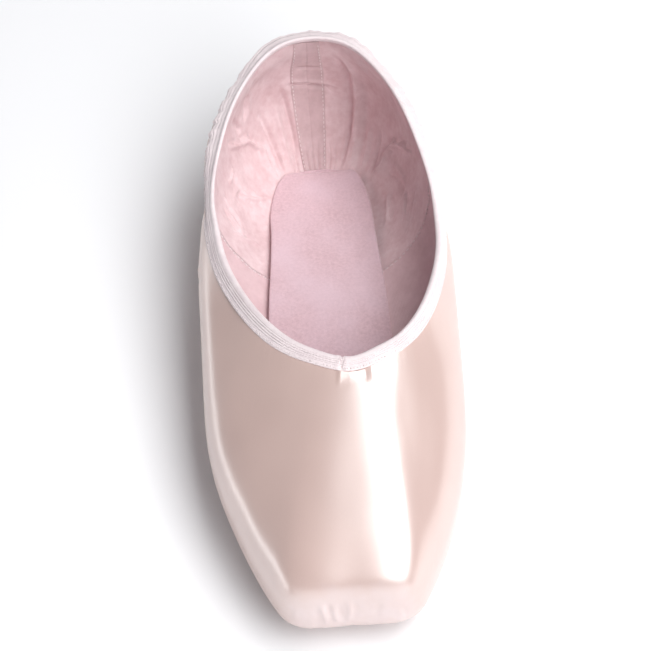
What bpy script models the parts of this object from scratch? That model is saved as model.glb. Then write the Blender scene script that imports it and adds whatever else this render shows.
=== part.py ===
"""Pointe shoe on a straight last, for either foot, standing empty on its sole.

Metres, +Z up. The toe points along -Y and the heel along +Y. The origin is on the floor, below the middle of
the shoe. Three closed loops carry the form: the feather edge, where the upper turns under to the sole, the
side, where the upper is widest, and the rim of the collar. A meridian runs from the feather edge out and up
to the side as one arc, and on over the vamp or the quarter to the rim as another. Every piece is lofted from
rings that lie on these meridians or beside them.
"""

import math

import bpy
import numpy as np

# Driving sizes of the last
LENGTH = 0.235
BALL_WIDTH = 0.0885
INSTEP_HEIGHT = 0.052
HEEL_HEIGHT = 0.0568
ARCH_HEIGHT = 0.004
TOE_SPRING = 0.0012

# How far the toe and the throat lie to the +X side of the straight middle
TOE_DRIFT = 0.0016
THROAT_DRIFT = 0.0061

# Walls, and the clearance between neighbours
QUARTER_WALL = 0.0012
BOX_WALL = 0.0028
GAP = 0.0003

# Pleats under the toe
PLEATS_PER_SIDE = 11
PLEAT_DEPTH = 0.0010

# Outsole, and how far it reaches past the feather edge
OUTSOLE_THICKNESS = 0.003
OUTSOLE_EDGE = 0.0013
OUTSOLE_HEEL_MARGIN = 0.0135
OUTSOLE_WAIST_MARGIN = 0.0052
OUTSOLE_TOE_MARGIN = 0.0095

# Insole, and how far it reaches past the feather edge
INSOLE_THICKNESS = 0.0018
INSOLE_MARGIN = 0.0045
INSOLE_ROUND = 0.0006

# Casing sewn round the rim of the collar: its outer face, its turn inside, its cloth and its rolled top
CASING_WIDTH = 0.0058
CASING_THROAT_WIDTH = 0.0046
CASING_TURN = 0.0014
CASING_CLOTH = 0.0008
CASING_ROLL = 0.0009

# Tape over the back seam, inside the heel, and how far it lies to the +X side of the middle. Its ends are
# shares of the upper's first and last inner facets between the insole and the casing.
TAPE_WIDTH = 0.0135
TAPE_DRIFT = -0.0025
TAPE_CLOTH = 0.0006
TAPE_FOOT = 0.06
TAPE_TOP = 0.1

# Where each change along the shoe starts and ends, as shares of LENGTH from its middle
ZONES = {
    "arch": (-0.12, 0.26),
    "toe spring": (-0.30, -0.42),
    "toe drift": (-0.20, -0.42),
    "throat drift": (0.20, -0.174),
    "outsole heel": (0.24, 0.36),
    "outsole toe": (-0.14, -0.30),
    "casing throat": (-0.09, -0.17),
}

# Stations from the back of the heel round one side to the tip. Each "y" is a share of LENGTH from its middle
# and each "x" a share of half of BALL_WIDTH. Heights of the side are shares of INSTEP_HEIGHT, and heights of
# the rim are shares of HEEL_HEIGHT.
LAST = {
    #             side_y  side_x side_z  sole_y  sole_x  rim_y   rim_x  rim_z
    "heel back": (0.5000, 0.000, 0.635, 0.3780, 0.000, 0.4817, 0.000, 1.000),
    "heel round": (0.4740, 0.440, 0.650, 0.3660, 0.226, 0.4630, 0.330, 0.986),
    "heel side": (0.3920, 0.735, 0.700, 0.3130, 0.325, 0.3840, 0.631, 0.945),
    "seat": (0.2850, 0.880, 0.735, 0.2340, 0.340, 0.2890, 0.802, 0.896),
    "quarter": (0.1620, 0.945, 0.725, 0.1360, 0.352, 0.1700, 0.902, 0.853),
    "side seam": (0.1000, 0.996, 0.690, 0.0830, 0.363, 0.1200, 0.892, 0.843),
    "wing": (0.0340, 1.008, 0.635, 0.0260, 0.377, 0.0720, 0.872, 0.836),
    "ball": (-0.1150, 1.000, 0.520, -0.0940, 0.435, -0.0085, 0.771, 0.842),
    "box": (-0.2470, 0.962, 0.440, -0.1960, 0.467, -0.0638, 0.651, 0.862),
    "shoulder": (-0.3700, 0.792, 0.385, -0.2720, 0.432, -0.1128, 0.497, 0.888),
    "toe side": (-0.4590, 0.588, 0.345, -0.3130, 0.320, -0.1460, 0.323, 0.904),
    "corner": (-0.4880, 0.478, 0.320, -0.3270, 0.210, -0.1570, 0.233, 0.908),
    "tip": (-0.5000, 0.000, 0.310, -0.3360, 0.000, -0.1740, 0.000, 0.914),
}

# How the two arcs of a meridian bend at the same stations. The lower arc leaves the sole at an angle of
# sole_rise degrees, drawn out by sole_out, and meets the side drawn down by side_down. The upper arc is drawn
# up by side_up and comes to the rim by rim_out, rim_fall degrees steeper than a straight line. All but the
# angles are shares of the arc's own run or rise. "stiff" is 1 for the wall of the box and 0 for the quarter's.
BEND = {
    #        sole_out sole_rise side_down side_up rim_out rim_fall stiff
    "heel back": (0.66, 1.0, 0.56, 0.45, 0.40, 4.0, 0.2),
    "heel round": (0.62, 1.0, 0.56, 0.45, 0.40, 7.0, 0.2),
    "heel side": (0.54, 1.0, 0.52, 0.45, 0.40, 7.0, 0.1),
    "seat": (0.46, 1.0, 0.50, 0.45, 0.42, 4.0, 0.0),
    "quarter": (0.44, 1.0, 0.50, 0.45, 0.42, 0.0, 0.1),
    "side seam": (0.51, 0.5, 0.54, 0.46, 0.41, 0.0, 0.3),
    "wing": (0.60, 0.0, 0.58, 0.48, 0.40, 0.0, 0.5),
    "ball": (0.78, 0.0, 0.68, 0.50, 0.42, -1.0, 0.9),
    "box": (0.86, 0.0, 0.74, 0.52, 0.46, -3.0, 1.0),
    "shoulder": (0.92, 1.0, 0.82, 0.56, 0.50, -5.5, 1.0),
    "toe side": (0.97, 2.5, 0.88, 0.58, 0.56, -8.5, 1.0),
    "corner": (1.00, 3.5, 0.90, 0.60, 0.60, -11.0, 1.0),
    "tip": (1.00, 4.0, 0.90, 0.62, 0.62, -13.0, 1.0),
}

# Facets round one side as far as the pleats, which run from the ball to the tip
PLAIN_FACETS = {
    "heel back": 4,
    "heel round": 4,
    "heel side": 3,
    "seat": 3,
    "quarter": 2,
    "side seam": 2,
    "wing": 4,
}
# One pleat: shares of its width, each with the share of its depth there
PLEAT_FOLD = ((0.0, 1.0), (0.40, 0.40), (0.82, 0.0))

# Rings of the upper's outer face: over the outsole as shares of its margin, then shares of the height left
# below the casing. The same for the inner face, over the insole and then below the casing's turn.
OUTSOLE_RINGS = (0, 0.55, 1)
OUTER_RINGS = (0.10, 0.20, 0.30, 0.40, 0.51, 0.62, 0.73, 0.83, 0.92)
INSOLE_RINGS = (0, 0.5, 1)
INNER_RINGS = (0.13, 0.26, 0.40, 0.55, 0.70, 0.85)

# Rings of the outsole's underside as shares of its margin, and where the insole's flat middle starts
PARED_RINGS = (0, 0.55, 0.9, 1)
INSOLE_CROWN = 0.2

# The casing's roll, in degrees from the rim's outer face over its top, and the cloth's inner face under it
ROLL_DEGREES = (15, 60, 120, 165)
RIM_DEGREES = (180, 135, 45, 0)

# Points across the tape, and the angle from which an edge is drawn sharp
TAPE_POINTS = 7
SHARP_DEGREES = 40

# Heights between which the pleats fade out, and the box's wall runs out. The side is 1 and the rim is RIM.
RIM = 2.0
PLEAT_FADE = (0.40, 0.82)
WALL_FADE = (1.15, 1.90)

# Steps that measure a meridian's length, and the step of a slope
MERIDIAN_POINTS = 80
SLOPE_STEP = 1e-4
UP = np.array([0.0, 0.0, 1.0])


def smooth(value):
    """0 below 0, 1 above 1, and an even curve between."""
    value = np.clip(value, 0, 1)
    return value * value * (3 - 2 * value)


def along(zone, y):
    """How far y lies along a zone: 0 before its start, 1 past its end."""
    start, end = ZONES[zone]
    return np.clip((y / LENGTH - start) / (end - start), 0, 1)


def floor_height(y):
    """Underside of the outsole above the floor: flat at heel and ball, arched between, raised at the toe."""
    arch = np.sin(math.pi * along("arch", y)) ** 2
    return ARCH_HEIGHT * arch + TOE_SPRING * smooth(along("toe spring", y))


def feather_height(y):
    return floor_height(y) + OUTSOLE_THICKNESS + GAP


def last_rows():
    """The stations round the whole shoe: x, y, z of the side, x, y of the feather edge, x, y, z of the rim."""
    half_width = BALL_WIDTH / 2
    rows = []
    for name, shares in LAST.items():
        side_y, side_x, side_z, sole_y, sole_x, rim_y, rim_x, rim_z = shares
        side = (side_x * half_width, side_y * LENGTH, side_z * INSTEP_HEIGHT)
        sole = (sole_x * half_width, sole_y * LENGTH)
        rim = (rim_x * half_width, rim_y * LENGTH, rim_z * HEEL_HEIGHT)
        rows.append([*side, *sole, *rim, *BEND[name]])
    rows = np.array(rows)
    other_side = rows[-2:0:-1].copy()
    other_side[:, (0, 3, 5)] *= -1
    rows = np.vstack([rows, other_side])
    for x, y in ((0, 1), (3, 4)):
        rows[:, x] += TOE_DRIFT * smooth(along("toe drift", rows[:, y]))
    rows[:, 5] += THROAT_DRIFT * along("throat drift", rows[:, 6])
    return rows


class ClosedSpline:
    """A closed cubic curve through rows of numbers, spaced by the distance between their first three."""

    def __init__(self, rows):
        chords = np.linalg.norm((np.roll(rows, -1, axis=0) - rows)[:, :3], axis=1)
        self.rows = rows
        self.knots = np.concatenate([[0], np.cumsum(chords)])
        count = len(rows)
        slope = (np.roll(rows, -1, axis=0) - rows) / chords[:, None]
        system = np.zeros((count, count))
        for i in range(count):
            system[i, i - 1] += chords[i - 1]
            system[i, i] += 2 * (chords[i - 1] + chords[i])
            system[i, (i + 1) % count] += chords[i]
        self.curl = np.linalg.solve(system, 6 * (slope - np.roll(slope, 1, axis=0)))

    def at(self, place):
        place = np.mod(place, self.knots[-1])
        i = np.searchsorted(self.knots, place, side="right") - 1
        i = np.clip(i, 0, len(self.rows) - 1)
        j = (i + 1) % len(self.rows)
        before = (place - self.knots[i])[:, None]
        after = (self.knots[i + 1] - place)[:, None]
        width = before + after
        return (
            (self.curl[i] * after**3 + self.curl[j] * before**3) / (6 * width)
            + (self.rows[i] / width - self.curl[i] * width / 6) * after
            + (self.rows[j] / width - self.curl[j] * width / 6) * before
        )


SPLINE = ClosedSpline(last_rows())
STATION = dict(zip(LAST, SPLINE.knots))


def column(values):
    return values[:, None]


def plan_direction(vectors):
    flat = vectors * (1, 1, 0)
    return flat / column(np.linalg.norm(flat, axis=1))


def meridians(place):
    """The four control points of the lower and of the upper arc at each place, and the wall's stiffness."""
    row = SPLINE.at(place)
    side, rim = row[:, 0:3], row[:, 5:8]
    sole = np.column_stack([row[:, 3:5], feather_height(row[:, 4])])
    sole_out, sole_rise, side_down, side_up, rim_out, rim_fall, stiff = row[:, 8:].T
    sole_run = np.linalg.norm((side - sole)[:, :2], axis=1)
    rim_run = np.linalg.norm((side - rim)[:, :2], axis=1)
    rim_reach = np.linalg.norm(side - rim, axis=1)
    fall = np.arctan2(rim[:, 2] - side[:, 2], rim_run) + np.radians(rim_fall)
    sole_pull = plan_direction(side - sole) + column(np.tan(np.radians(sole_rise))) * UP
    rim_pull = plan_direction(side - rim) * column(np.cos(fall)) - column(np.sin(fall)) * UP
    lower = (
        sole,
        sole + column(sole_out * sole_run) * sole_pull,
        side - column(side_down * (side - sole)[:, 2]) * UP,
        side,
    )
    upper = (
        side,
        side + column(side_up * (rim - side)[:, 2]) * UP,
        rim + column(rim_out * rim_reach) * rim_pull,
        rim,
    )
    return lower, upper, stiff


def arc(points, share):
    share = column(share)
    rest = 1 - share
    a, b, c, d = points
    return a * rest**3 + 3 * b * rest**2 * share + 3 * c * rest * share**2 + d * share**3


def surface(place, height):
    """The last's surface, at a place round the shoe and a height: feather edge 0, side 1, rim 2."""
    place, height = np.broadcast_arrays(np.asarray(place, float), np.asarray(height, float))
    lower, upper, _ = meridians(place)
    below = arc(lower, np.clip(height, 0, 1))
    above = arc(upper, np.clip(height - 1, 0, 1))
    return np.where(column(height < 1), below, above)


def outward(place, height):
    """The unit normal of the last's surface, away from the foot."""
    place, height = np.broadcast_arrays(np.asarray(place, float), np.asarray(height, float))
    low = np.clip(height - SLOPE_STEP, 0, RIM)
    high = np.clip(height + SLOPE_STEP, 0, RIM)
    onward = surface(place + SLOPE_STEP, height) - surface(place - SLOPE_STEP, height)
    normal = np.cross(surface(place, high) - surface(place, low), onward)
    return normal / column(np.linalg.norm(normal, axis=1))


def wall(place, height):
    """The box's layers are thick round the toes and run out towards the rim."""
    start, end = WALL_FADE
    share = meridians(place)[2] * (1 - smooth((height - start) / (end - start)))
    return QUARTER_WALL + (BOX_WALL - QUARTER_WALL) * np.clip(share, 0, 1)


def beside(place, height, offset):
    """A point beside the last: offset is along the outward normal."""
    return surface(place, height) + outward(place, height) * np.reshape(offset, (-1, 1))


def half_columns():
    """Places from the back of the heel to the tip on one side, each with its share of a pleat's depth."""
    names = list(LAST)
    found = []
    for name, count in PLAIN_FACETS.items():
        start, end = STATION[name], STATION[names[names.index(name) + 1]]
        found += [(start + (end - start) * i / count, 0.0) for i in range(count)]
    start, end = STATION["ball"], STATION["tip"]
    width = (end - start) / PLEATS_PER_SIDE
    for pleat in range(PLEATS_PER_SIDE):
        for share, depth in PLEAT_FOLD:
            grown = smooth((pleat + share) * width / (STATION["box"] - start))
            found.append((start + (pleat + share) * width, depth * grown))
    return found + [(end, 1.0)]


def columns():
    """The places of all columns, once round from the back of the heel, and their shares of a pleat."""
    half = half_columns()
    other_side = [(SPLINE.knots[-1] - place, depth) for place, depth in half[-2:0:-1]]
    return np.array(half + other_side).T


COLUMNS, PLEAT_SHARE = columns()


def column_lengths():
    """Heights from feather edge to rim, and each column's length from the feather edge to each of them."""
    heights = np.linspace(0, RIM, MERIDIAN_POINTS)
    points = np.stack([surface(COLUMNS, height) for height in heights], axis=1)
    steps = np.linalg.norm(np.diff(points, axis=1), axis=2)
    return heights, np.hstack([np.zeros((len(COLUMNS), 1)), np.cumsum(steps, axis=1)])


HEIGHTS, LENGTHS = column_lengths()


def above_feather(length):
    """The height in each column that lies a length along the last from the feather edge."""
    length = np.broadcast_to(length, COLUMNS.shape)
    return np.array([np.interp(wanted, lengths, HEIGHTS) for wanted, lengths in zip(length, LENGTHS)])


def below_rim(length):
    return above_feather(LENGTHS[:, -1] - length)


def sole_margin():
    """How far the outsole reaches past the feather edge in each column."""
    y = surface(COLUMNS, 0.0)[:, 1]
    at_heel = smooth(along("outsole heel", y))
    at_toe = smooth(along("outsole toe", y))
    at_waist = 1 - at_heel - at_toe
    return OUTSOLE_HEEL_MARGIN * at_heel + OUTSOLE_TOE_MARGIN * at_toe + OUTSOLE_WAIST_MARGIN * at_waist


def casing_width():
    """The casing's outer face, which is drawn in at the throat."""
    throat = smooth(along("casing throat", surface(COLUMNS, RIM)[:, 1]))
    return CASING_WIDTH + (CASING_THROAT_WIDTH - CASING_WIDTH) * throat


def ladder(under, top, shares):
    """Heights of one face's rings: those at its foot, shares of what is left below its top, and the rim."""
    between = [under[-1] + (top - under[-1]) * share for share in shares]
    return under + between + [top, np.full(len(COLUMNS), RIM)]


def outer_heights():
    under = [above_feather(sole_margin() * share) for share in OUTSOLE_RINGS]
    return ladder(under, below_rim(casing_width()), OUTER_RINGS)


def inner_heights():
    under = [above_feather(INSOLE_MARGIN * share) for share in INSOLE_RINGS]
    return ladder(under, below_rim(CASING_TURN), INNER_RINGS)


def outer_ring(height):
    """A ring of the upper's outer face, pleated under the toe as far as the platform."""
    start, end = PLEAT_FADE
    fade = 1 - smooth((height - start) / (end - start))
    return beside(COLUMNS, height, -PLEAT_DEPTH * PLEAT_SHARE * fade)


def inner_ring(height, inset=0.0):
    return beside(COLUMNS, height, -wall(COLUMNS, height) - inset)


def material(name, colour, roughness, metallic=0.0):
    made = bpy.data.materials.new(name)
    made.use_nodes = True
    shader = made.node_tree.nodes["Principled BSDF"]
    shader.inputs["Base Color"].default_value = (*colour, 1)
    shader.inputs["Roughness"].default_value = roughness
    shader.inputs["Metallic"].default_value = metallic
    return made


def build(name, points, faces, finish):
    mesh = bpy.data.meshes.new(name)
    mesh.from_pydata(np.asarray(points).tolist(), [], faces)
    mesh.validate()
    mesh.shade_smooth()
    mesh.set_sharp_from_angle(angle=math.radians(SHARP_DEGREES))
    mesh.materials.append(finish)
    made = bpy.data.objects.new(name, mesh)
    bpy.context.scene.collection.objects.link(made)
    return made


def band_faces(first, second, count, rising):
    """Triangles between two rings, from the indices of their first points.

    Their shared edges run from the lower ring forward to the higher, so that neighbours in two pieces match.
    """
    faces = []
    for i in range(count):
        a, b = first + i, second + i
        a_next, b_next = first + (i + 1) % count, second + (i + 1) % count
        if rising:
            faces += [(a, b, b_next), (a, b_next, a_next)]
        else:
            faces += [(a, b, a_next), (b, b_next, a_next)]
    return faces


def cap_faces(first, count, facing_up):
    """Strips across a ring, from each point on one side to its fellow on the other."""
    faces = [(first, first + 1, first + count - 1)]
    for i in range(1, count // 2 - 1):
        faces.append((first + i, first + i + 1, first + count - i - 1, first + count - i))
    faces.append((first + count // 2 - 1, first + count // 2, first + count // 2 + 1))
    return [face[::-1] for face in faces] if facing_up else faces


def loft(name, rings, finish, endless=False):
    """A solid through rings, each once round from the heel, endless like a tyre or capped at both ends."""
    count = len(rings[0])
    levels = [ring[:, 2].mean() for ring in rings]
    faces = []
    for i in range(len(rings) - 1):
        faces += band_faces(i * count, (i + 1) * count, count, levels[i + 1] > levels[i])
    if endless:
        faces += band_faces((len(rings) - 1) * count, 0, count, levels[0] > levels[-1])
    else:
        faces += cap_faces(0, count, facing_up=False)
        faces += cap_faces((len(rings) - 1) * count, count, facing_up=True)
    return build(name, np.vstack(rings), faces, finish)


def upper(finish):
    """Satin vamp and quarters in one wall, from the feather edge outside over the rim and back inside."""
    rings = [outer_ring(height) for height in outer_heights()]
    rings += [inner_ring(height) for height in reversed(inner_heights())]
    return loft("upper", rings, finish, endless=True)


def outsole(finish):
    """Leather sole, full in the middle and pared to a thin edge that follows the upper."""
    margin = sole_margin()

    def top(share):
        return beside(COLUMNS, above_feather(margin * share), GAP)

    def bottom(share):
        pared = (OUTSOLE_THICKNESS - OUTSOLE_EDGE) * share**2
        return top(share) - (OUTSOLE_THICKNESS - pared) * UP

    under = [bottom(share) for share in PARED_RINGS]
    over = [top(share) for share in reversed(OUTSOLE_RINGS)]
    return loft("outsole", under + over, finish)


def drawn_in(ring, distance):
    """A ring moved level towards its own middle."""
    onward = np.roll(ring, -1, axis=0) - np.roll(ring, 1, axis=0)
    return ring + distance * plan_direction(np.cross(onward, UP))


def insole(finish):
    """Suede sock on a board that fills the window inside the feather edge and laps over it."""

    def lapped(share, lift):
        return inner_ring(above_feather(INSOLE_MARGIN * share), GAP) + lift * UP

    board = drawn_in(surface(COLUMNS, 0.0), 2 * GAP)
    board_top = np.hstack([board[:, :2], lapped(0.0, 0.0)[:, 2:]])
    rings = [
        board,
        board_top,
        lapped(0.5, 0.0),
        lapped(1.0, 0.0),
        lapped(1.0, INSOLE_THICKNESS - INSOLE_ROUND),
        drawn_in(lapped(1.0, INSOLE_THICKNESS), INSOLE_ROUND),
        lapped(INSOLE_CROWN, INSOLE_THICKNESS),
    ]
    return loft("insole", rings, finish)


def collar_casing(finish):
    """Folded casing round the rim, wider outside than inside, with a rolled top."""
    width = casing_width()
    half_wall = column(wall(COLUMNS, RIM)) / 2
    rim = surface(COLUMNS, RIM)
    normal = outward(COLUMNS, RIM)
    rising = rim - surface(COLUMNS, RIM - SLOPE_STEP)
    rising /= column(np.linalg.norm(rising, axis=1))

    def outside(below, offset):
        return beside(COLUMNS, below_rim(below), offset)

    def inside(below, offset):
        return inner_ring(below_rim(below), offset)

    def rolled(degrees, cloth):
        """Points round the rim's own edge, from its outer face (0) over the top (90) to its inner (180)."""
        turn = math.radians(degrees)
        radius = half_wall + GAP + cloth
        return rim - half_wall * normal + radius * (math.cos(turn) * normal + math.sin(turn) * rising)

    rings = [
        outside(width, GAP),
        outside(width, GAP + CASING_CLOTH / 2),
        outside(width - CASING_CLOTH, GAP + CASING_CLOTH),
        outside(width / 3, GAP + CASING_CLOTH),
        *(rolled(degrees, CASING_ROLL) for degrees in ROLL_DEGREES),
        inside(CASING_TURN, GAP + CASING_CLOTH / 2),
        inside(CASING_TURN, GAP),
        *(rolled(degrees, 0.0) for degrees in RIM_DEGREES),
    ]
    return loft("collar_casing", rings, finish, endless=True)


def back_seam_tape(finish):
    """Tape sewn over the back seam, from below the casing's turn down to the insole's heel."""
    heights = inner_heights()
    lowest, highest = len(INSOLE_RINGS) - 1, len(heights) - 2
    levels = [lowest + TAPE_FOOT, *range(lowest + 1, highest), highest - TAPE_TOP]
    across = TAPE_DRIFT + np.linspace(-TAPE_WIDTH, TAPE_WIDTH, TAPE_POINTS) / 2
    heel_columns = np.arange(-PLAIN_FACETS["heel back"], PLAIN_FACETS["heel back"] + 1)

    def strip(level, inset):
        """Points across the tape, on the facets of the upper's inner face."""
        low = int(level)
        below, above = (inner_ring(heights[i], GAP + inset)[heel_columns] for i in (low, low + 1))
        line = below + (above - below) * (level - low)
        return np.stack([np.interp(across, line[:, 0], line[:, axis]) for axis in range(3)], axis=1)

    rings = [np.vstack([strip(level, 0.0), strip(level, TAPE_CLOTH)[::-1]]) for level in levels]
    return loft("back_seam_tape", rings, finish)


def clear_scene():
    for old in list(bpy.data.objects):
        bpy.data.objects.remove(old)


def main():
    clear_scene()
    satin = material("satin", (0.80, 0.60, 0.54), 0.32)
    leather = material("sole_leather", (0.62, 0.47, 0.38), 0.65)
    suede = material("suede", (0.72, 0.50, 0.53), 0.90)
    cotton = material("binding_cotton", (0.85, 0.70, 0.73), 0.75)
    lining = material("lining_cotton", (0.78, 0.56, 0.58), 0.85)
    upper(satin)
    outsole(leather)
    insole(suede)
    collar_casing(cotton)
    back_seam_tape(lining)


main()
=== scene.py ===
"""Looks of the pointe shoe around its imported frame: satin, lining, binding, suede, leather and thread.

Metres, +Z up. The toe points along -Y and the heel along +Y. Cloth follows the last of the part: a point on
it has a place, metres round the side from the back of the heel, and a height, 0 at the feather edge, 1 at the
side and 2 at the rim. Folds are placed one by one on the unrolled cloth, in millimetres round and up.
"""

import math

import bpy
import numpy as np
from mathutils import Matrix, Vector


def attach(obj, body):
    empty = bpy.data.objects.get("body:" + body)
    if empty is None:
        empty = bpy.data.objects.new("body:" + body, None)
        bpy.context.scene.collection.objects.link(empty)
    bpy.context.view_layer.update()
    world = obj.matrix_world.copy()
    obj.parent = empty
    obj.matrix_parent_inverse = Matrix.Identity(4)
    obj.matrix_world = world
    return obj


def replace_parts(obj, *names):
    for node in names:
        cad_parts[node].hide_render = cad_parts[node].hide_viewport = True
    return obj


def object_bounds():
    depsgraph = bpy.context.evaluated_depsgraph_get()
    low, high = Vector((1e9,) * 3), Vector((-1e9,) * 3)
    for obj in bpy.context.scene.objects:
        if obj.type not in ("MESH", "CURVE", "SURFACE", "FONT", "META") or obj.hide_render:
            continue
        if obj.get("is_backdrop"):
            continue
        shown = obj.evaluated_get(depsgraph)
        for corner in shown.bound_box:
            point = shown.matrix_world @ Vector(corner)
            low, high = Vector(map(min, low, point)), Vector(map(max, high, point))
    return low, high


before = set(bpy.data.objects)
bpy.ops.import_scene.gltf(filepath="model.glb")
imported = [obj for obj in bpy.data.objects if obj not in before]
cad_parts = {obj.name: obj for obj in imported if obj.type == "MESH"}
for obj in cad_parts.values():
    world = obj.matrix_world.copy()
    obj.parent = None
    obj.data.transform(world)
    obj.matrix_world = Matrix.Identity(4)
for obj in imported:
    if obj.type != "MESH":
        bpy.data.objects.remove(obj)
CAD_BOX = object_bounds()

# The last, as in the part
LENGTH = 0.235
BALL_WIDTH = 0.0885
INSTEP_HEIGHT = 0.052
HEEL_HEIGHT = 0.0568
ARCH_HEIGHT = 0.004
TOE_SPRING = 0.0012
TOE_DRIFT = 0.0016
THROAT_DRIFT = 0.0061
QUARTER_WALL = 0.0012
BOX_WALL = 0.0028
GAP = 0.0003
PLEATS_PER_SIDE = 11
PLEAT_DEPTH = 0.0010
OUTSOLE_THICKNESS = 0.003
OUTSOLE_EDGE = 0.0013
OUTSOLE_HEEL_MARGIN = 0.0135
OUTSOLE_WAIST_MARGIN = 0.0052
OUTSOLE_TOE_MARGIN = 0.0095
INSOLE_THICKNESS = 0.0018
INSOLE_MARGIN = 0.0045
BINDING_WIDTH = 0.0058
BINDING_THROAT_WIDTH = 0.0046
BINDING_TURN = 0.0014
BINDING_CLOTH = 0.0005
BINDING_SEAT = 0.0001
TAPE_WIDTH = 0.0135
TAPE_DRIFT = -0.0025
TAPE_LIFT = 0.0003

ZONES = {
    "arch": (-0.12, 0.26),
    "toe spring": (-0.30, -0.42),
    "toe drift": (-0.20, -0.42),
    "throat drift": (0.20, -0.174),
    "outsole heel": (0.24, 0.36),
    "outsole toe": (-0.14, -0.30),
    "binding throat": (-0.09, -0.17),
}
LAST = {
    #             side_y  side_x side_z  sole_y  sole_x  rim_y   rim_x  rim_z
    "heel back": (0.5000, 0.000, 0.635, 0.3780, 0.000, 0.4817, 0.000, 1.000),
    "heel round": (0.4740, 0.440, 0.650, 0.3660, 0.226, 0.4630, 0.330, 0.986),
    "heel side": (0.3920, 0.735, 0.700, 0.3130, 0.325, 0.3840, 0.631, 0.945),
    "seat": (0.2850, 0.880, 0.735, 0.2340, 0.340, 0.2890, 0.802, 0.896),
    "quarter": (0.1620, 0.945, 0.725, 0.1360, 0.352, 0.1700, 0.902, 0.853),
    "side seam": (0.1000, 0.996, 0.690, 0.0830, 0.363, 0.1200, 0.892, 0.843),
    "wing": (0.0340, 1.008, 0.635, 0.0260, 0.377, 0.0720, 0.872, 0.836),
    "ball": (-0.1150, 1.000, 0.520, -0.0940, 0.435, -0.0085, 0.771, 0.842),
    "box": (-0.2470, 0.962, 0.440, -0.1960, 0.467, -0.0638, 0.651, 0.862),
    "shoulder": (-0.3700, 0.792, 0.385, -0.2720, 0.432, -0.1128, 0.497, 0.888),
    "toe side": (-0.4590, 0.588, 0.345, -0.3130, 0.320, -0.1460, 0.323, 0.904),
    "corner": (-0.4880, 0.478, 0.320, -0.3270, 0.210, -0.1570, 0.233, 0.908),
    "tip": (-0.5000, 0.000, 0.310, -0.3360, 0.000, -0.1740, 0.000, 0.914),
}
BEND = {
    #        sole_out sole_rise side_down side_up rim_out rim_fall stiff
    "heel back": (0.66, 1.0, 0.56, 0.45, 0.40, 4.0, 0.2),
    "heel round": (0.62, 1.0, 0.56, 0.45, 0.40, 7.0, 0.2),
    "heel side": (0.54, 1.0, 0.52, 0.45, 0.40, 7.0, 0.1),
    "seat": (0.46, 1.0, 0.50, 0.45, 0.42, 4.0, 0.0),
    "quarter": (0.44, 1.0, 0.50, 0.45, 0.42, 0.0, 0.1),
    "side seam": (0.51, 0.5, 0.54, 0.46, 0.41, 0.0, 0.3),
    "wing": (0.60, 0.0, 0.58, 0.48, 0.40, 0.0, 0.5),
    "ball": (0.78, 0.0, 0.68, 0.50, 0.42, -1.0, 0.9),
    "box": (0.86, 0.0, 0.74, 0.52, 0.46, -3.0, 1.0),
    "shoulder": (0.92, 1.0, 0.82, 0.56, 0.50, -5.5, 1.0),
    "toe side": (0.97, 2.5, 0.88, 0.58, 0.56, -8.5, 1.0),
    "corner": (1.00, 3.5, 0.90, 0.60, 0.60, -11.0, 1.0),
    "tip": (1.00, 4.0, 0.90, 0.62, 0.62, -13.0, 1.0),
}
RIM = 2.0
WALL_FADE = (1.15, 1.90)
SLOPE_STEP = 1e-4
UP = np.array([0.0, 0.0, 1.0])

# Cloth: how thick each layer is, how far the vamp stands proud of the quarters and the box's lining of the
# quarters' lining, how far the satin runs under the binding, how far below the rim the linings end, and how
# far panels run under each other
SATIN_CLOTH = 0.0005
LINING_CLOTH = 0.0004
VAMP_PROUD = 0.0002
QUARTER_SUNK = 0.0002
BOX_LINING_PROUD = 0.0006
UNDER_BINDING = 0.002
LINING_BELOW_RIM = 0.0007
QUARTER_LAP = 0.004
LINING_LAP = 0.003
BACK_SEAM_GAP = 0.0002
BACK_SEAM_SINK = 0.0004
HIDDEN_ROWS = 14

# Stitches along the binding's lower edge, the row of needle holes between them, painted as dots of shade, and
# the binding's ribs
EDGE_PITCH = 0.0021
EDGE_ROW = 0.0016
EDGE_UP = 0.00075
EDGE_STITCH = 0.0018
EDGE_THREAD = 0.00013
EDGE_LEAN = 0.0004
BINDING_RIBS = 5
RIB_DEPTH = 0.00034

# The insole's edge stands off the lining on both sides, and its corners at the heel are cut in
INSOLE_GAP_LEFT = 0.0018
INSOLE_GAP_RIGHT = 0.0016
INSOLE_CORNER = 0.0022

# The heel's tape starts above the insole and ends below the rim
TAPE_FROM = 0.0052
TAPE_BELOW_RIM = 0.0022

# Tables of the unrolled cloth, the lattice of the soft hills on it, and the unit of the tables of folds
TABLE_PLACES = 721
TABLE_STEPS = 161
LATTICE = 64
MILLIMETRE = 0.001


def smooth(value):
    """0 below 0, 1 above 1, and an even curve between."""
    value = np.clip(value, 0, 1)
    return value * value * (3 - 2 * value)


def along(zone, y):
    """How far y lies along a zone: 0 before its start, 1 past its end."""
    start, end = ZONES[zone]
    return np.clip((y / LENGTH - start) / (end - start), 0, 1)


def floor_height(y):
    arch = np.sin(math.pi * along("arch", y)) ** 2
    return ARCH_HEIGHT * arch + TOE_SPRING * smooth(along("toe spring", y))


def feather_height(y):
    return floor_height(y) + OUTSOLE_THICKNESS + GAP


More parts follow.
